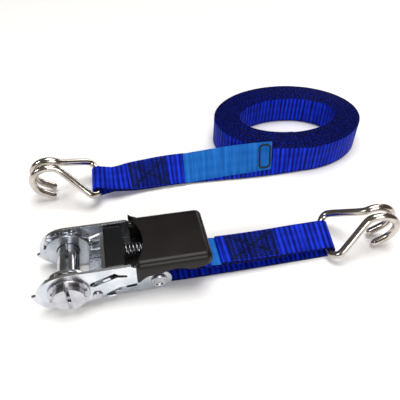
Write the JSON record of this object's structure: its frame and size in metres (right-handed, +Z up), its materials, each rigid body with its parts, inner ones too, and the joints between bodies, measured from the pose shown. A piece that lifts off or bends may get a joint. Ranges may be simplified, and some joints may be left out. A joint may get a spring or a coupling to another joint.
{
  "type": "ratchet tie down",
  "caption": "Closed ratchet buckle with a sewn short strap and wire hook, beside a long hooked webbing strap rolled up on edge.",
  "frame": {"origin": "centre of the flat underside of the buckle's floor plate, on the surface the parts lie on", "axes": "+Z up, +X from the spindle along the buckle towards the short strap and its hook, +Y towards the rolled long strap"},
  "size_m": [0.2901, 0.2087, 0.0359],
  "materials": {
    "frame_channel": "bright zinc-plated pressed steel",
    "strap_bolt": "bright zinc-plated pressed steel",
    "bolt_nut": "bright zinc-plated pressed steel",
    "bolt_sleeve": "bright zinc-plated pressed steel",
    "lock_pawl": "bright zinc-plated pressed steel",
    "lock_pawl_spring": "bright zinc-plated pressed steel",
    "handle_frame": "bright zinc-plated pressed steel",
    "handle_rivet_near": "bright zinc-plated pressed steel",
    "handle_rivet_far": "bright zinc-plated pressed steel",
    "grip_cover": "satin black moulded plastic",
    "drive_pawl": "bright zinc-plated pressed steel",
    "release_trigger": "satin black moulded plastic",
    "grip_liner": "satin black moulded plastic",
    "trigger_spring": "bright zinc-plated pressed steel",
    "spindle_half_front": "bright zinc-plated pressed steel",
    "spindle_half_back": "bright zinc-plated pressed steel",
    "split_pin_near": "bright zinc-plated pressed steel",
    "split_pin_far": "bright zinc-plated pressed steel",
    "cap_washer_near": "bright zinc-plated pressed steel",
    "cap_washer_far": "bright zinc-plated pressed steel",
    "ratchet_wheel_near": "bright zinc-plated pressed steel",
    "ratchet_wheel_far": "bright zinc-plated pressed steel",
    "short_strap": "woven royal-blue polyester webbing",
    "short_label": "smooth azure woven tape",
    "short_hook": "bright zinc-plated wire",
    "long_strap_lead": "woven royal-blue polyester webbing",
    "long_label": "smooth azure woven tape",
    "long_strap_coil": "woven royal-blue polyester webbing",
    "long_hook": "bright zinc-plated wire"
  },
  "bodies": {
    "frame": {"frame_channel": "frame_channel", "strap_bolt": "strap_bolt", "bolt_nut": "bolt_nut", "bolt_sleeve": "bolt_sleeve", "lock_pawl_spring": "lock_pawl_spring"},
    "lock": {"lock_pawl": "lock_pawl"},
    "handle": {"handle_frame": "handle_frame", "grip_cover": "grip_cover", "grip_liner": "grip_liner", "handle_rivet_near": "handle_rivet_near", "handle_rivet_far": "handle_rivet_far", "trigger_spring": "trigger_spring"},
    "drive": {"drive_pawl": "drive_pawl", "release_trigger": "release_trigger"},
    "spindle": {"spindle_half_front": "spindle_half_front", "spindle_half_back": "spindle_half_back", "split_pin_near": "split_pin_near", "split_pin_far": "split_pin_far", "cap_washer_near": "cap_washer_near", "cap_washer_far": "cap_washer_far", "ratchet_wheel_near": "ratchet_wheel_near", "ratchet_wheel_far": "ratchet_wheel_far"},
    "short_strap_body": {"short_strap": "short_strap", "short_label": "short_label"},
    "short_hook_body": {"short_hook": "short_hook"},
    "long_strap_body": {"long_strap_lead": "long_strap_lead", "long_label": "long_label", "long_strap_coil": "long_strap_coil"},
    "long_hook_body": {"long_hook": "long_hook"}
  },
  "joints": [
    {"name": "handle_swing", "type": "hinge", "parent": "frame", "child": "handle", "pos_m": [-0.036, 0, 0.0163], "axis": [0, -1, 0], "range_deg": [0, 180]},
    {"name": "spindle_spin", "type": "hinge", "parent": "frame", "child": "spindle", "pos_m": [-0.036, 0, 0.0163], "axis": [0, 1, 0], "continuous": true},
    {"name": "lock_pawl_slide", "type": "slide", "parent": "frame", "child": "lock", "axis": [1, 0, 0], "range_m": [0, 0.003], "stiffness_N_per_m": 60, "deforming": ["lock_pawl_spring"]},
    {"name": "drive_pawl_slide", "type": "slide", "parent": "handle", "child": "drive", "axis": [0.9291, 0, 0.3697], "range_m": [0, 0.0036], "stiffness_N_per_m": 60, "deforming": ["trigger_spring"]},
    {"name": "short_strap_swing", "type": "hinge", "parent": "frame", "child": "short_strap_body", "pos_m": [0.0205, 0, 0.0086], "axis": [0, -1, 0], "range_deg": [0, 20]},
    {"name": "short_hook_swing", "type": "hinge", "parent": "short_strap_body", "child": "short_hook_body", "pos_m": [0.1438, 0.0012, 0.0056], "axis": [-0.117, -0.9891, -0.0897], "range_deg": [0, 80]},
    {"name": "long_strap_lift", "type": "slide", "parent": "frame", "child": "long_strap_body", "axis": [0, 0, 1], "range_m": [0, 0.3]},
    {"name": "long_hook_swing", "type": "hinge", "parent": "long_strap_body", "child": "long_hook_body", "pos_m": [-0.0134, 0.0902, 0.0099], "axis": [0.0254, 0.9961, 0.0842], "range_deg": [0, 80]}
  ]
}
